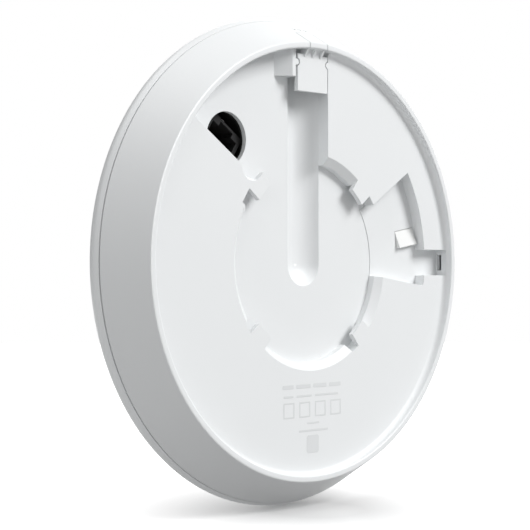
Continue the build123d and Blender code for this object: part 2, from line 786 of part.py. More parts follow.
def lens_holder():
    """A low box over the sensor, with a track for the filter and a lens collar."""
    body = block(*HOLDER_SIZE, HOLDER_FRONT_Z, SENSOR_Z)
    body += disc(BARREL_R + 2, HOLDER_FRONT_Z - COLLAR_HEIGHT, HOLDER_FRONT_Z)
    length, width = HOLDER_SIZE
    roof = HOLDER_FRONT_Z + HOLDER_WALL
    body -= block(length - 2 * HOLDER_WALL, width - 2 * HOLDER_WALL, roof, SENSOR_Z + 1)
    for side in (-1, 1):
        y = side * (SLIDER_SIZE[1] / 2 + SLIDER_GAP + 0.6)
        body += block(length - HOLDER_WALL, 1.2, roof - 0.2, SENSOR_Z, (0, y))
    body -= disc(BARREL_R + BARREL_GAP, HOLDER_FRONT_Z - 4, roof + 1)
    return body


def filter_slider():
    """A frame with two windows that slides across in front of the sensor."""
    length, width = SLIDER_SIZE
    at = (SLIDER_TRAVEL / -2, 0)
    frame = block(length, width, SLIDER_Z - SLIDER_WALL, SLIDER_Z, at)
    for side in (-1, 1):
        hole = block(
            FILTER_SIDE + 0.1,
            FILTER_SIDE + 0.1,
            SLIDER_Z - SLIDER_WALL - 1,
            SLIDER_Z + 1,
            (at[0] + side * SLIDER_TRAVEL / 2, 0),
        )
        frame -= hole
    return frame


def filter_glasses():
    """The infrared-cut glass and the clear glass in the slider."""
    panes = []
    for side in (-1, 1):
        at = (SLIDER_TRAVEL / -2 + side * SLIDER_TRAVEL / 2, 0)
        panes.append(block(FILTER_SIDE, FILTER_SIDE, SLIDER_Z - SLIDER_WALL + 0.1, SLIDER_Z - 0.1, at))
    return Compound(children=panes)


def filter_coil():
    """The small electromagnet that throws the slider across."""
    y = HOLDER_SIZE[1] / 2 + 2.0
    low = SENSOR_Z - 3.6
    core = block(13, 3.6, low, SENSOR_Z, (0, y))
    for side in (-1, 1):
        core -= block(8, 1.6, low + 0.9, SENSOR_Z - 0.9, (0, y + side * 1.8))
    return core


def lens_barrel():
    """The threaded barrel and the wide hood that the front glass sits in."""
    hood_high = dome_z(0) + HOOD_LENGTH
    bottom = SLIDER_Z - SLIDER_WALL - SLIDER_GAP
    barrel = ring(BARREL_BORE_R, BARREL_R, hood_high - 1, bottom)
    hood = turned(
        [
            (BARREL_BORE_R, hood_high),
            (HOOD_R, hood_high),
            (HOOD_R, dome_z(0) - HOOD_LIP),
            (HOOD_BORE_R + 0.6, dome_z(0) - HOOD_LIP - 0.8),
            (HOOD_BORE_R, dome_z(0) - HOOD_LIP),
            (HOOD_BORE_R, hood_high - HOOD_FLOOR),
            (BARREL_BORE_R, hood_high - HOOD_FLOOR),
        ]
    )
    return barrel + hood


def lens_front():
    """The big front glass, a deep meniscus that bulges out of the window."""
    seat = dome_z(0) + HOOD_LENGTH - HOOD_FLOOR
    radius = HOOD_BORE_R - BARREL_GAP
    height = seat - LENS_TOP_Z - LENS_FLANGE
    bulge = (radius**2 + height**2) / (2 * height)
    outer = Pos(0, 0, LENS_TOP_Z + bulge) * Sphere(bulge)
    outer &= disc(radius, LENS_TOP_Z - 1, seat - LENS_FLANGE)
    outer += disc(radius, seat - LENS_FLANGE - 0.1, seat)
    hollow_z = LENS_TOP_Z + LENS_WALL + LENS_HOLLOW_R
    hollow = Pos(0, 0, hollow_z) * Sphere(LENS_HOLLOW_R)
    hollow += disc(LENS_HOLLOW_NECK_R, hollow_z, seat + 1)
    return outer - (hollow & disc(LENS_HOLLOW_R, LENS_TOP_Z, seat + 1))


def lens_elements():
    """Three more glasses in the barrel's bore."""
    top = dome_z(0) + HOOD_LENGTH - HOOD_FLOOR
    bottom = SLIDER_Z - SLIDER_WALL - SLIDER_GAP
    room = bottom - top
    glasses = []
    for step in range(3):
        low = top + 0.3 + step * room / 3
        glass = disc(BARREL_BORE_R - 0.03, low, low + ELEMENT_WALL * room / 8)
        glasses.append(glass)
    return Compound(children=glasses)


# ---- front cover and window --------------------------------------------------------------


def front_cover():
    """The shallow dome, from the seam round the edge to the window's hole."""
    hole = COVER_HOLE_R
    inner_edge_r = EDGE_R - SIDE_WALL - 0.6
    outer_mid = (EDGE_R + hole) / 2
    outer_arc = ThreePointArc(
        (EDGE_R, EDGE_Z), (outer_mid, dome_z(outer_mid)), (hole, dome_z(hole))
    )
    inner_mid = (inner_edge_r + hole) / 2
    inner_arc = ThreePointArc(
        (hole, dome_z(hole, COVER_WALL)),
        (inner_mid, dome_z(inner_mid, COVER_WALL)),
        (inner_edge_r, dome_z(inner_edge_r, COVER_WALL)),
    )
    top = SEAM_Z - SEAM_GAP
    seam_r = SEAM_R + SEAM_GAP * CONE_SLOPE
    lines = [
        Line((seam_r, top), (EDGE_R, EDGE_Z)),
        outer_arc,
        Line(outer_arc @ 1, inner_arc @ 0),
        inner_arc,
        Line(inner_arc @ 1, (seam_r - SIDE_WALL, top)),
        Line((seam_r - SIDE_WALL, top), (seam_r, top)),
    ]
    face = make_face(Curve() + lines)
    corner = face.vertices().sort_by_distance(Vector(EDGE_R, EDGE_Z))[0]
    face = fillet(corner, EDGE_ROUND)
    cover = revolve(Plane.XZ * face, Axis.Z)
    x, y = SPEAKER_AT
    cover -= disc(GRILLE_HOLE_R, 2 * dome_z(0), BOARD_FRONT_Z, SPEAKER_AT)
    for step in range(GRILLE_HOLES):
        dx, dy = polar(GRILLE_RING_R, 360 / GRILLE_HOLES * step)
        cover -= disc(GRILLE_HOLE_R, 2 * dome_z(0), BOARD_FRONT_Z, (x + dx, y + dy))
    cover -= disc(MICROPHONE_HOLE_R, 2 * dome_z(0), BOARD_FRONT_Z, MICROPHONE_AT)
    return cover


def cover_seal():
    """A rubber ring between the housing's tongue and the cover."""
    inner = SEAM_R - SIDE_WALL - TONGUE_GAP
    high = SEAM_Z - SEAM_GAP - 0.3
    return ring(inner, inner + SEAL_WIDTH, high - SEAL_HEIGHT, high)


def light_ring():
    """The clear status ring round the window, with a flange behind the cover."""
    outer = COVER_HOLE_R - BEZEL_GAP
    inner = outer - LIGHT_RING_WIDTH
    face_z = dome_z(COVER_HOLE_R)
    back_z = dome_z(COVER_HOLE_R, COVER_WALL)
    flange = COVER_HOLE_R + LIGHT_RING_FLANGE
    return turned(
        [
            (inner, face_z),
            (outer, face_z),
            (outer, back_z + 0.3),
            (flange, back_z + 0.6),
            (flange, back_z + 1.4),
            (inner, back_z + 1.4),
        ]
    )


def window_r():
    return COVER_HOLE_R - BEZEL_GAP - LIGHT_RING_WIDTH - BEZEL_GAP


def front_bezel():
    """The black window round the lens, with three posts for the light board."""
    outer = window_r()
    inner = HOOD_R + BEZEL_GAP
    face_z = dome_z(COVER_HOLE_R)
    bezel = turned(
        [
            (inner, face_z - BEZEL_RISE),
            (outer, face_z),
            (outer, face_z + BEZEL_WALL),
            (inner, face_z - BEZEL_RISE + BEZEL_WALL),
        ]
    )
    low = face_z + BEZEL_WALL / 2 - BEZEL_RISE / 4
    for step in range(3):
        at = polar(BEZEL_POSTS_AT, 90 + 120 * step)
        bezel += disc(BEZEL_POST_R, low, night_board_front_z(), at)
    return bezel


def night_board_front_z():
    return dome_z(COVER_HOLE_R) + BEZEL_WALL + NIGHT_BOARD_DROP


def night_board():
    low = night_board_front_z()
    return ring(NIGHT_BOARD_INNER_R, NIGHT_BOARD_OUTER_R, low, low + NIGHT_BOARD_WALL)


def night_lights():
    """Infrared lights round the lens, behind the black window."""
    high = night_board_front_z()
    lights = []
    for step in range(NIGHT_LIGHT_COUNT):
        at = polar(NIGHT_LIGHTS_AT, 360 / NIGHT_LIGHT_COUNT * step)
        light = disc(NIGHT_LIGHT_R, high - NIGHT_LIGHT_HEIGHT, high, at)
        lights.append(fillet(light.edges().sort_by(Axis.Z)[0], 0.5))
    return Compound(children=lights)


# ---- sound --------------------------------------------------------------------------------


def speaker():
    high = BOARD_FRONT_Z
    body = disc(SPEAKER_R, high - SPEAKER_HEIGHT, high, SPEAKER_AT)
    dish = Pos(*SPEAKER_AT, high - SPEAKER_HEIGHT) * Cone(3, SPEAKER_R - 1.5, 2)
    return body - dish


def microphone():
    return block(*MICROPHONE_SIZE[:2], BOARD_FRONT_Z - MICROPHONE_SIZE[2], BOARD_FRONT_Z, MICROPHONE_AT)


def microphone_seal():
    """A rubber tube from the microphone to its hole in the cover."""
    high = BOARD_FRONT_Z - MICROPHONE_SIZE[2]
    low = dome_z(MICROPHONE_AT[1] + MICROPHONE_SEAL_R, COVER_WALL) + 0.1
    tube = disc(MICROPHONE_SEAL_R, low, high, MICROPHONE_AT)
    return tube - disc(MICROPHONE_HOLE_R, low - 1, high + 1, MICROPHONE_AT)


NODES = {
    "back_housing": back_housing,
    "cable_door": cable_door,
    "lock_latch": lock_latch,
    "latch_spring": latch_spring,
    "latch_retainer": latch_retainer,
    "main_board": main_board,
    "board_screws": board_screws,
    "heat_spreader": heat_spreader,
    "processor": processor,
    "thermal_pad": thermal_pad,
    "memory_chips": memory_chips,
    "power_transformer": power_transformer,
    "capacitors": capacitors,
    "shield_cans": shield_cans,
    "port_boot": port_boot,
    "network_jack": network_jack,
    "jack_contacts": jack_contacts,
    "reset_switch": reset_switch,
    "reset_button": reset_button,
    "sensor_board": sensor_board,
    "board_spacers": board_spacers,
    "sensor_connector": sensor_connector,
    "image_sensor": image_sensor,
    "lens_holder": lens_holder,
    "filter_slider": filter_slider,
    "filter_glasses": filter_glasses,
    "filter_coil": filter_coil,
    "lens_barrel": lens_barrel,
    "lens_front": lens_front,
    "lens_elements": lens_elements,
    "front_cover": front_cover,
    "cover_seal": cover_seal,
    "light_ring": light_ring,
    "front_bezel": front_bezel,
    "night_board": night_board,
    "night_lights": night_lights,
    "speaker": speaker,
    "microphone": microphone,
    "microphone_seal": microphone_seal,
}

os.makedirs("parts", exist_ok=True)
for node_name, make in NODES.items():
    write(node_name, make())
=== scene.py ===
from math import cos, pi, radians, sin

import bmesh
import bpy
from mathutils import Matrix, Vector


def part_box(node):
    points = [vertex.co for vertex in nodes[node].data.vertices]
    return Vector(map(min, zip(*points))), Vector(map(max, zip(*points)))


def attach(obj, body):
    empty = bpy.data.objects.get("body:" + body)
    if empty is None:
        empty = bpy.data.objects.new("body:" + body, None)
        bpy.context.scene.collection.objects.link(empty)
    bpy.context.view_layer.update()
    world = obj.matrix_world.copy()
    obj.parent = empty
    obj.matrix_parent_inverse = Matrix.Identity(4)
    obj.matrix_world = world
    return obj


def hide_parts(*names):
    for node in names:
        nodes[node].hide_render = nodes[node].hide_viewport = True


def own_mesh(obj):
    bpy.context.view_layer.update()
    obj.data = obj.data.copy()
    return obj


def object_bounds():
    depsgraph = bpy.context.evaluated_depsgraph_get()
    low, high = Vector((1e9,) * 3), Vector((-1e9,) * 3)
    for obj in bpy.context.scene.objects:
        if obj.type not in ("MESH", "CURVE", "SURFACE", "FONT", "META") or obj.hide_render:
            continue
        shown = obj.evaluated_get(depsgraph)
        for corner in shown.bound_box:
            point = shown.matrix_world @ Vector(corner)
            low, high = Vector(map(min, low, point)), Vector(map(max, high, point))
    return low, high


# A round white ceiling camera that stands on its edge with its back to the viewer.
# Lengths are metres unless a name ends in _MM. The back faces -Y, the lens +Y and
# the cable's exit +Z, and the axis of the round body is the Y axis.

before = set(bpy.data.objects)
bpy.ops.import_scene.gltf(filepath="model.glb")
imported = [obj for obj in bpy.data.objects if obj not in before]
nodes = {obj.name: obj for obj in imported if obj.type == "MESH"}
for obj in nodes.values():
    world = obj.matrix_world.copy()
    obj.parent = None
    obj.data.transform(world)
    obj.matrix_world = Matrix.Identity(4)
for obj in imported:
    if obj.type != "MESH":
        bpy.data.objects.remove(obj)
cad_low, cad_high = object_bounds()

MM = 0.001

# Camera: its lens, the way it looks and what it looks at, beside the part's middle
LENS_MM = 100.2
SENSOR_MM = 36.0
VIEW_TURN = 44.71
VIEW_RISE = 0.19
VIEW_DISTANCE = 0.47
AIM_SHIFT = Vector((-0.0162, -0.0148, -0.001))
CLIP_NEAR = 0.01
CLIP_FAR = 20.0

# Studio
FLOOR_R = 1.1
# The floor's painted light, by distance in metres from the floor's middle under the part: no glow
# near the part, which leaves a painted contact shade round it, and full white glow far off
FLOOR_GLOW_FROM = 0.015
FLOOR_GLOW_TO = 0.09
FLOOR_GLOW_NEAR = 0.0
FLOOR_GLOW_FAR = 1.0
FLOOR_GAP = 0.05 * MM
FLOOR_HAZE_MM = 1000 / 3
AMBIENT = 0.33
BACKDROP = 1.0

# Soft square lights that face the middle: place, side and watts
LIGHTS = {
    "key": ((0.6, -1.05, 0.95), 0.7, 22.0),
    "overhead": ((-0.3, -0.1, 1.3), 0.8, 3.4),
    "fill": ((-1.15, -0.45, 0.3), 0.8, 2.6),
    "far_side": ((0.9, 1.1, 0.8), 0.9, 4.0),
}

# Plain print on the back, in mm from the part's axis: across, up, width, height
PRINT_LINES_MM = [
    (-11.4, -40.0, 5.0, 1.3),
    (-4.3, -40.0, 6.6, 1.3),
    (3.4, -40.0, 6.2, 1.3),
    (10.6, -40.0, 5.4, 1.3),
    (-11.2, -43.1, 4.4, 0.7),
    (-4.0, -43.1, 7.0, 0.7),
    (6.6, -43.1, 11.0, 0.7),
    (0.2, -52.0, 5.6, 0.6),
    (0.4, -54.4, 13.6, 0.7),
]
PRINT_SQUARES_MM = [(-11.0, -47.5), (-3.7, -47.5), (3.6, -47.5), (10.9, -47.5)]
PRINT_SQUARE_MM = 5.0
PRINT_PLATE_MM = (0.0, -58.8, 5.6, 5.8)
PRINT_STROKE_MM = 0.45
PRINT_THICK_MM = 0.02
PRINT_CORNER_SHARE = 10
PROBE_MM = 10.0

# Small pieces of the lens, in mm
IRIS_HOLE_MM = 2.3
IRIS_STEP_MM = 0.5
IRIS_FROM_GLASS_MM = 0.15
RING_STEPS = 96
GRIP_NOTCHES = 60
NOTCH_POINTS = 4
GRIP_PROUD_MM = 0.18
GRIP_FLOOR_MM = 0.02
GRIP_BEDDED_MM = 0.3
GRIP_FROM_END_MM = 1.2
GRIP_LENGTH_MM = 1.6

# The latch's spring, in mm: its wire and turns, and how finely the coil and its wire are drawn
SPRING_WIRE_MM = 0.45
SPRING_TURNS = 4
COIL_STEPS = 40
WIRE_SIDES = 12

# How long a pattern repeats on each finish, in mm. The grains are drawn coarser than
# the real ones, which are too fine to show.
CLOUD_MM = 38.0
FLOW_MM = CLOUD_MM / 4
SPARK_GRAIN_MM = 0.45
FINE_GRAIN_MM = 0.3
LATHE_LINE_MM = 0.35
BRUSH_LINE_MM = 0.25
TRACK_MM = 2.4
FIBRE_MM = 0.6
EDGE_SOFT_MM = 0.22
TOOL_MARK_MM = 0.02

# How far a finish's roughness strays from place to place
MOULDED_STRAYS = 0.06
METAL_SHINIER = 0.08
METAL_DULLER = 0.1


# ---- materials -----------------------------------------------------------------


def colour(code):
    """An sRGB hex value as the linear colour that a shader takes."""
    channels = [int(code[at : at + 2], 16) / 255 for at in (1, 3, 5)]
    linear = [c / 12.92 if c <= 0.04045 else ((c + 0.055) / 1.055) ** 2.4 for c in channels]
    return (*linear, 1.0)


def per_metre(size_mm):
    """A texture's scale for a pattern that repeats every so many millimetres."""
    return 1 / (size_mm * MM)


def add(tree, kind, settings=None, values=None, links=None):
    """Adds a node with its settings, its own socket values and the links into it."""
    node = tree.nodes.new(kind)
    for name, value in (settings or {}).items():
        setattr(node, name, value)
    for name, value in (values or {}).items():
        node.inputs[name].default_value = value
    for name, source in (links or {}).items():
        tree.links.new(source, node.inputs[name])
    return node


def start(name, base, roughness, **sockets):
    """A new material: its node tree, its shader and the place on the object."""
    material = bpy.data.materials.new(name)
    material.use_nodes = True
    tree = material.node_tree
    shader = tree.nodes["Principled BSDF"]
    shader.inputs["Base Color"].default_value = colour(base)
    shader.inputs["Roughness"].default_value = roughness
    for socket, value in sockets.items():
        shader.inputs[socket.replace("_", " ")].default_value = value
    place = add(tree, "ShaderNodeTexCoord").outputs["Object"]
    return material, tree, shader, place


def moulded(name, base, shade, roughness, grain_mm, depth_mm, **sockets):
    """A moulded surface: the mould's grain, soft edges and a faint cloud of colour."""
    material, tree, shader, place = start(name, base, roughness, **sockets)
    cloud = add(
        tree,
        "ShaderNodeTexNoise",
        values={"Scale": per_metre(CLOUD_MM), "Detail": 2.0},
        links={"Vector": place},
    ).outputs["Fac"]
    grain = add(
        tree,
        "ShaderNodeTexNoise",
        values={"Scale": per_metre(grain_mm), "Detail": 3.0, "Roughness": 0.6},
        links={"Vector": place},
    ).outputs["Fac"]
    tint = add(
        tree,
        "ShaderNodeMix",
        {"data_type": "RGBA"},
        {6: colour(base), 7: colour(shade)},
        {0: cloud},
    )
    gloss = add(
        tree,
        "ShaderNodeMapRange",
        values={"To Min": roughness - MOULDED_STRAYS, "To Max": roughness + MOULDED_STRAYS},
        links={"Value": grain},
    )
    edge = add(tree, "ShaderNodeBevel", {"samples": 4}, {"Radius": EDGE_SOFT_MM * MM})
    bump = add(
        tree,
        "ShaderNodeBump",
        values={"Strength": 0.35, "Distance": depth_mm * MM},
        links={"Height": grain, "Normal": edge.outputs["Normal"]},
    )
    tree.links.new(tint.outputs[2], shader.inputs["Base Color"])
    tree.links.new(gloss.outputs["Result"], shader.inputs["Roughness"])
    tree.links.new(bump.outputs["Normal"], shader.inputs["Normal"])
    return material


def worked_metal(name, base, shade, roughness, line_mm, stretch, **sockets):
    """Bare or plated metal with fine lines left by the tool or the rolls."""
    material, tree, shader, place = start(name, base, roughness, Metallic=1.0, **sockets)
    stretched = add(tree, "ShaderNodeMapping", values={"Scale": stretch}, links={"Vector": place})
    lines = add(
        tree,
        "ShaderNodeTexNoise",
        values={"Scale": per_metre(line_mm), "Detail": 4.0},
        links={"Vector": stretched.outputs["Vector"]},
    ).outputs["Fac"]
    tint = add(
        tree,
        "ShaderNodeMix",
        {"data_type": "RGBA"},
        {6: colour(base), 7: colour(shade)},
        {0: lines},
    )
    gloss = add(
        tree,
        "ShaderNodeMapRange",
        values={"To Min": roughness - METAL_SHINIER, "To Max": roughness + METAL_DULLER},
        links={"Value": lines},
    )
    bump = add(
        tree,
        "ShaderNodeBump",
        values={"Strength": 0.25, "Distance": TOOL_MARK_MM * MM},
        links={"Height": lines},
    )
    tree.links.new(tint.outputs[2], shader.inputs["Base Color"])
    tree.links.new(gloss.outputs["Result"], shader.inputs["Roughness"])
    tree.links.new(bump.outputs["Normal"], shader.inputs["Normal"])
    return material


def housing_asa():
    """White ASA off a spark-eroded mould: satin, with a grain too fine to feel."""
    return moulded(
        "housing_asa", "#E7E9EA", "#E3E5E6", 0.46, SPARK_GRAIN_MM, 0.02, IOR=1.52
    )


def cover_pc():
    """White polycarbonate off a finely blasted mould: a little glossier than the back."""
    return moulded("cover_pc", "#E9EBEC", "#E5E7E8", 0.38, FINE_GRAIN_MM, 0.012, IOR=1.58)


def latch_pom():
    """White acetal, slightly waxy, which slides well against the housing."""
    return moulded("latch_pom", "#ECEDEC", "#E6E7E6", 0.34, FINE_GRAIN_MM, 0.008, IOR=1.48)


def window_acrylic():
    """Black acrylic that lets infrared through: a deep polish with faint flow waves."""
    return moulded("window_acrylic", "#060607", "#0A0A0C", 0.08, FLOW_MM, 0.03, IOR=1.49)


def ring_diffuser():
    """Milky polycarbonate over the status lights: cloudy all the way through."""
    return moulded(
        "ring_diffuser",
        "#DDE4E8",
        "#E6ECEF",
        0.32,
        FINE_GRAIN_MM,
        0.01,
        IOR=1.58,
        Subsurface_Weight=0.4,
        Subsurface_Scale=1.2 * MM,
    )


def nylon_black():
    """Glass-filled black nylon: dull, with pale flecks where the fibres surface."""
    return moulded("nylon_black", "#070708", "#0B0B0C", 0.72, FIBRE_MM, 0.03, IOR=1.4)


def rubber_black():
    """Black silicone rubber off a matt mould: soft, dark and slightly dusty."""
    return moulded("rubber_black", "#0B0B0B", "#111110", 0.8, SPARK_GRAIN_MM, 0.04, IOR=1.43)


def thermal_silicone():
    """Soft grey-blue silicone filled with ceramic powder: quite matt."""
    return moulded("thermal_silicone", "#8D9BAA", "#7C8997", 0.88, FINE_GRAIN_MM, 0.05, IOR=1.45)


def chip_epoxy():
    """Black moulding compound of a chip: matt, with a fine sandy skin."""
    return moulded("chip_epoxy", "#19191B", "#222224", 0.62, FINE_GRAIN_MM, 0.02, IOR=1.55)


def ferrite_tape():
    """Amber film tape wound round a ferrite core: thin, shiny and wrinkled."""
    return moulded("ferrite_tape", "#C08A2B", "#A8731F", 0.24, TRACK_MM, 0.08, IOR=1.64)


def light_epoxy():
    """Dark violet clear epoxy of an infrared light."""
    return moulded("light_epoxy", "#2A1D2E", "#35253A", 0.1, CLOUD_MM, 0.01, IOR=1.55)


def barrel_aluminium():
    """Turned and black anodised aluminium: fine lathe rings under a dark skin."""
    return worked_metal(
        "barrel_aluminium", "#1B1B1D", "#262629", 0.36, LATHE_LINE_MM, (0.05, 1.0, 0.05)
    )


def spreader_aluminium():
    """Brushed sheet aluminium, cut to shape: lines along X."""
    return worked_metal(
        "spreader_aluminium", "#C9CBCE", "#B2B4B8", 0.34, BRUSH_LINE_MM, (0.04, 1.0, 1.0)
    )


def tinned_steel():
    """Tin-plated sheet steel, pressed: bright grey with faint rolling lines."""
    return worked_metal(
        "tinned_steel", "#B9BBBD", "#A6A8AB", 0.3, BRUSH_LINE_MM, (1.0, 0.06, 1.0)
    )


def spring_steel():
    """Drawn stainless spring wire: a smooth grey with drawing lines."""
    return worked_metal(
        "spring_steel", "#AEB0B3", "#8F9195", 0.26, BRUSH_LINE_MM, (1.0, 0.2, 1.0)
    )


def gold_bronze():
    """Gold-plated bronze contacts and brass spacers: warm and bright."""
    return worked_metal(
        "gold_bronze", "#E2B45A", "#CD9C44", 0.22, BRUSH_LINE_MM, (1.0, 0.1, 1.0)
    )


def coated_glass(name, base, film_nm):
    """Polished optical glass under an anti-reflection film that tints its glints."""
    material, tree, shader, place = start(
        name,
        base,
        0.02,
        IOR=1.62,
        Transmission_Weight=1.0,
        Thin_Film_Thickness=film_nm,
        Thin_Film_IOR=1.38,
    )
    wipe = add(
        tree,
        "ShaderNodeTexNoise",
        values={"Scale": per_metre(FLOW_MM), "Detail": 2.0},
        links={"Vector": place},
    )
    gloss = add(
        tree,
        "ShaderNodeMapRange",
        values={"To Min": 0.0, "To Max": 0.05},
        links={"Value": wipe.outputs["Fac"]},
    )
    tree.links.new(gloss.outputs["Result"], shader.inputs["Roughness"])
    return material


def board_laminate():
    """Green solder mask over glass laminate: tracks in relief and a fine weave."""
    material, tree, shader, place = start("board_laminate", "#0E4A30", 0.35, IOR=1.55)
    tracks = add(
        tree,
        "ShaderNodeTexVoronoi",
        {"feature": "DISTANCE_TO_EDGE", "distance": "EUCLIDEAN"},
        {"Scale": per_metre(TRACK_MM), "Randomness": 0.35},
        {"Vector": place},
    )
    raised = add(
        tree,
        "ShaderNodeMapRange",
        values={"From Min": 0.04, "From Max": 0.08},
        links={"Value": tracks.outputs["Distance"]},
    )
    tint = add(
        tree,
        "ShaderNodeMix",
        {"data_type": "RGBA"},
        {6: colour("#0B3D27"), 7: colour("#14603F")},
        {0: raised.outputs["Result"]},
    )
    weave = add(
        tree,
        "ShaderNodeTexNoise",
        values={"Scale": per_metre(FIBRE_MM)},
        links={"Vector": place},
    )
    bump = add(
        tree,
        "ShaderNodeBump",
        values={"Strength": 0.3, "Distance": 0.035 * MM},
        links={"Height": raised.outputs["Result"]},
    )
    gloss = add(
        tree,
        "ShaderNodeMapRange",
        values={"To Min": 0.28, "To Max": 0.44},
        links={"Value": weave.outputs["Fac"]},
    )
    tree.links.new(tint.outputs[2], shader.inputs["Base Color"])
    tree.links.new(gloss.outputs["Result"], shader.inputs["Roughness"])
    tree.links.new(bump.outputs["Normal"], shader.inputs["Normal"])
    return material


def pad_ink():
    """Pale grey pad-printed ink: thin, matt and a little uneven."""
    return moulded("pad_ink", "#DDDFE0", "#D7D9DA", 0.6, SPARK_GRAIN_MM, 0.01, IOR=1.5)


def studio_floor():
    """A white lacquered table top with painted light: its glow grows with distance from the part,
    so right round the part it is left dark as a painted contact shade, and farther out it melts
    into the white backdrop.
    """
    material, tree, shader, place = start("studio_floor", "#FFFFFF", 0.12, IOR=1.6)
    haze = add(
        tree,
        "ShaderNodeTexNoise",
        values={"Scale": per_metre(FLOOR_HAZE_MM), "Detail": 2.0},
        links={"Vector": place},
    )
    gloss = add(
        tree,
        "ShaderNodeMapRange",
        values={"To Min": 0.09, "To Max": 0.15},
        links={"Value": haze.outputs["Fac"]},
    )
    # painted light: the glow rises with distance from the part, which paints a darker contact
    # shade round it and a white floor farther out
    away = add(tree, "ShaderNodeVectorMath", {"operation": "LENGTH"}, links={0: place})
    glow = add(
        tree,
        "ShaderNodeMapRange",
        values={
            "From Min": FLOOR_GLOW_FROM,
            "From Max": FLOOR_GLOW_TO,
            "To Min": FLOOR_GLOW_NEAR,
            "To Max": FLOOR_GLOW_FAR,
        },
        links={"Value": away.outputs["Value"]},
    )
    shader.inputs["Emission Color"].default_value = colour("#FFFFFF")
    tree.links.new(glow.outputs["Result"], shader.inputs["Emission Strength"])
    tree.links.new(gloss.outputs["Result"], shader.inputs["Roughness"])
    return material


def finish_cad_nodes():
    """Gives each carried-over CAD node the finish that the real piece has."""
    housing, cover, latch = housing_asa(), cover_pc(), latch_pom()
    nylon, rubber, epoxy = nylon_black(), rubber_black(), chip_epoxy()
    board, steel, gold = board_laminate(), tinned_steel(), gold_bronze()
    spreader, ferrite = spreader_aluminium(), ferrite_tape()
    finishes = {
        "back_housing": housing,
        "cable_door": housing,
        "lock_latch": latch,
        "latch_spring": spring_steel(),
        "latch_retainer": steel,
        "main_board": board,
        "board_screws": steel,
        "heat_spreader": spreader,
        "processor": epoxy,
        "thermal_pad": thermal_silicone(),
        "memory_chips": epoxy,
        "power_transformer": ferrite,
        "capacitors": spreader,
        "shield_cans": steel,
        "port_boot": rubber,
        "network_jack": nylon,
        "jack_contacts": gold,
        "reset_switch": nylon,
        "reset_button": latch,
        "sensor_board": board,
        "board_spacers": gold,
        "sensor_connector": nylon,
        "image_sensor": epoxy,
        "lens_holder": nylon,
        "filter_slider": nylon,
        "filter_glasses": coated_glass("filter_coating", "#B9E4E6", 380.0),
        "filter_coil": ferrite,
        "lens_barrel": barrel_aluminium(),
        "lens_front": coated_glass("front_coating", "#F4FAFF", 460.0),
        "lens_elements": coated_glass("inner_coating", "#EAF6F2", 320.0),
        "front_cover": cover,
        "cover_seal": rubber,
        "light_ring": ring_diffuser(),
        "front_bezel": window_acrylic(),
        "night_board": board,
        "night_lights": light_epoxy(),
        "speaker": nylon,
        "microphone": steel,
        "microphone_seal": rubber,
    }
    for name, node in nodes.items():
        node.data.materials.clear()
        node.data.materials.append(finishes[name])


# ---- pieces --------------------------------------------------------------------


def piece(name, mesh, material, body):
    """A new piece with its finish, which rides on a body."""
    built = bpy.data.meshes.new(name)
    mesh.to_mesh(built)
    mesh.free()
    built.materials.append(material)
    made = bpy.data.objects.new(name, built)
    bpy.context.scene.collection.objects.link(made)
    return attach(made, body)


def band(mesh, row, after, smooth):
    """Joins two closed rows of points with a band of faces."""
    for at in range(len(row)):
        to = (at + 1) % len(row)
        mesh.faces.new((row[at], row[to], after[to], after[at])).smooth = smooth


def turned(profiles, smooth):
    """A closed ring about the Y axis, from (radius, place along Y) points at each step."""
    mesh = bmesh.new()
    rows = []
    for step, profile in enumerate(profiles):
        angle = 2 * pi * step / len(profiles)
        rows.append([mesh.verts.new((r * cos(angle), y, r * sin(angle))) for r, y in profile])
    for row, after in zip(rows, rows[1:] + rows[:1]):
        band(mesh, row, after, smooth)
    bmesh.ops.recalc_face_normals(mesh, faces=mesh.faces)
    return mesh


def slab(mesh, across, up, width, height, face_y):
    """Adds a thin printed patch with cut corners, flat on the back."""
    cut = min(width, height) / PRINT_CORNER_SHARE * MM
    x0, x1 = (across - width / 2) * MM, (across + width / 2) * MM
    z0, z1 = (up - height / 2) * MM, (up + height / 2) * MM
    outline = [
        (x0 + cut, z0),
        (x1 - cut, z0),
        (x1, z0 + cut),
        (x1, z1 - cut),
        (x1 - cut, z1),
        (x0 + cut, z1),
        (x0, z1 - cut),
        (x0, z0 + cut),
    ]
    front = [mesh.verts.new((x, face_y - PRINT_THICK_MM * MM, z)) for x, z in outline]
    back = [mesh.verts.new((x, face_y, z)) for x, z in outline]
    mesh.faces.new(front)
    mesh.faces.new(reversed(back))
    for at in range(len(outline)):
        to = (at + 1) % len(outline)
        mesh.faces.new((front[to], front[at], back[at], back[to]))


def printed_patches():
    """Plain bars and squares where such a part carries its print: no lettering."""
    housing = nodes["back_housing"]
    above = Vector((0, cad_low.y - PROBE_MM * MM, PRINT_LINES_MM[0][1] * MM))
    hit, at, _, _ = housing.ray_cast(above, Vector((0, 1, 0)))
    face_y = at.y if hit else cad_low.y
    mesh = bmesh.new()
    for line in PRINT_LINES_MM:
        slab(mesh, *line, face_y)
    side, stroke = PRINT_SQUARE_MM, PRINT_STROKE_MM
    reach = (side - stroke) / 2
    for across, up in PRINT_SQUARES_MM:
        for way in (-1, 1):
            slab(mesh, across, up + way * reach, side, stroke, face_y)
            slab(mesh, across + way * reach, up, stroke, side - 2 * stroke, face_y)
    slab(mesh, *PRINT_PLATE_MM, face_y)
    bmesh.ops.recalc_face_normals(mesh, faces=mesh.faces)
    piece("printed_patches", mesh, pad_ink(), "camera")


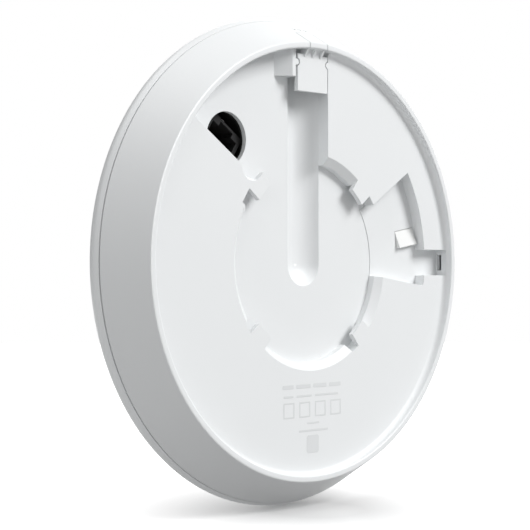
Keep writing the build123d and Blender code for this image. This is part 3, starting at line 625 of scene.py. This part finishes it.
def lens_iris():
    """A stepped black stop behind the front glass, which makes the lens look deep."""
    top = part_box("lens_elements")[1].y + IRIS_FROM_GLASS_MM * MM
    hole, step = IRIS_HOLE_MM * MM, IRIS_STEP_MM * MM
    profile = [
        (hole, top),
        (hole + step, top),
        (hole + step, top + step / 2),
        (hole + 3 * step, top + step / 2),
        (hole + 3 * step, top + step),
        (hole + 5 * step, top + step),
        (hole + 5 * step, top - step / 10),
        (hole, top - step / 10),
    ]
    black = nodes["lens_holder"].data.materials[0]
    piece("lens_iris", turned([profile] * RING_STEPS, True), black, "camera")


def hood_grip():
    """Fine notches round the lens hood, for the tool that screws it in."""
    low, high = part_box("lens_barrel")
    radius = (high.x - low.x) / 2
    front = high.y - GRIP_FROM_END_MM * MM
    back = front - GRIP_LENGTH_MM * MM
    inner = radius - GRIP_BEDDED_MM * MM
    profiles = []
    for step in range(NOTCH_POINTS * GRIP_NOTCHES):
        on_tooth = step % NOTCH_POINTS in (1, 2)
        outer = radius + (GRIP_PROUD_MM if on_tooth else GRIP_FLOOR_MM) * MM
        profiles.append([(inner, back), (outer, back), (outer, front), (inner, front)])
    black = nodes["lens_barrel"].data.materials[0]
    piece("hood_grip", turned(profiles, False), black, "camera")


def latch_coil():
    """The latch's spring as a coil of wire, drawn in place of the latch_spring node, which is
    hidden.
    """
    low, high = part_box("latch_spring")
    wire = SPRING_WIRE_MM * MM / 2
    radius = (high.x - low.x) / 2 - wire
    middle = (low + high) / 2
    start_y, rise = low.y + wire, high.y - low.y - 2 * wire
    mesh = bmesh.new()
    rows = []
    steps = round(SPRING_TURNS * COIL_STEPS)
    for step in range(steps + 1):
        turn = 2 * pi * SPRING_TURNS * step / steps
        y = start_y + rise * step / steps
        row = []
        for side in range(WIRE_SIDES):
            angle = 2 * pi * side / WIRE_SIDES
            r = radius + wire * cos(angle)
            at = (middle.x + r * cos(turn), y + wire * sin(angle), middle.z + r * sin(turn))
            row.append(mesh.verts.new(at))
        rows.append(row)
    for row, after in zip(rows, rows[1:]):
        band(mesh, row, after, True)
    mesh.faces.new(rows[0])
    mesh.faces.new(reversed(rows[-1]))
    bmesh.ops.recalc_face_normals(mesh, faces=mesh.faces)
    steel = nodes["latch_spring"].data.materials[0]
    coil = piece("latch_coil", mesh, steel, "camera")
    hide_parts("latch_spring")
    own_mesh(coil)


# ---- studio --------------------------------------------------------------------


def make_floor():
    """A wide pale floor just under the part, which throws no light back up at it."""
    mesh = bmesh.new()
    bmesh.ops.create_circle(mesh, cap_ends=True, segments=96, radius=FLOOR_R)
    built = bpy.data.meshes.new("floor")
    mesh.to_mesh(built)
    mesh.free()
    built.materials.append(studio_floor())
    floor = bpy.data.objects.new("floor", built)
    floor.location = (0, 0, cad_low.z - FLOOR_GAP)
    floor.visible_diffuse = False
    bpy.context.scene.collection.objects.link(floor)


def make_light(name, place, side, watts):
    """A soft square light that faces the middle."""
    data = bpy.data.lights.new(name, "AREA")
    data.size = side
    data.energy = watts
    light = bpy.data.objects.new(name, data)
    light.location = place
    light.rotation_mode = "QUATERNION"
    light.rotation_quaternion = (-Vector(place)).to_track_quat("-Z", "Y")
    bpy.context.scene.collection.objects.link(light)


def make_world():
    """A white backdrop, with less light from all round than the eye sees of it."""
    world = bpy.data.worlds.new("studio")
    world.use_nodes = True
    bpy.context.scene.world = world
    tree = world.node_tree
    ray = add(tree, "ShaderNodeLightPath").outputs["Is Camera Ray"]
    strength = add(
        tree,
        "ShaderNodeMapRange",
        values={"To Min": AMBIENT, "To Max": BACKDROP},
        links={"Value": ray},
    )
    background = tree.nodes["Background"]
    background.inputs["Color"].default_value = colour("#FFFFFF")
    tree.links.new(strength.outputs["Result"], background.inputs["Strength"])


def make_camera():
    """The camera, level with the part's middle and turned to show back and side."""
    turn, rise = radians(VIEW_TURN), radians(VIEW_RISE)
    forward = Vector((sin(turn) * cos(rise), cos(turn) * cos(rise), sin(rise)))
    aim = (cad_low + cad_high) / 2 + AIM_SHIFT
    data = bpy.data.cameras.new("camera")
    data.lens = LENS_MM
    data.sensor_width = SENSOR_MM
    data.clip_start, data.clip_end = CLIP_NEAR, CLIP_FAR
    camera = bpy.data.objects.new("camera", data)
    camera.location = aim - forward * VIEW_DISTANCE
    camera.rotation_mode = "QUATERNION"
    camera.rotation_quaternion = forward.to_track_quat("-Z", "Y")
    bpy.context.scene.collection.objects.link(camera)
    bpy.context.scene.camera = camera


make_camera()
make_world()
make_floor()
for name, light in LIGHTS.items():
    make_light(name, *light)
bpy.context.scene.view_settings.view_transform = "Standard"

finish_cad_nodes()
printed_patches()
lens_iris()
hood_grip()
latch_coil()
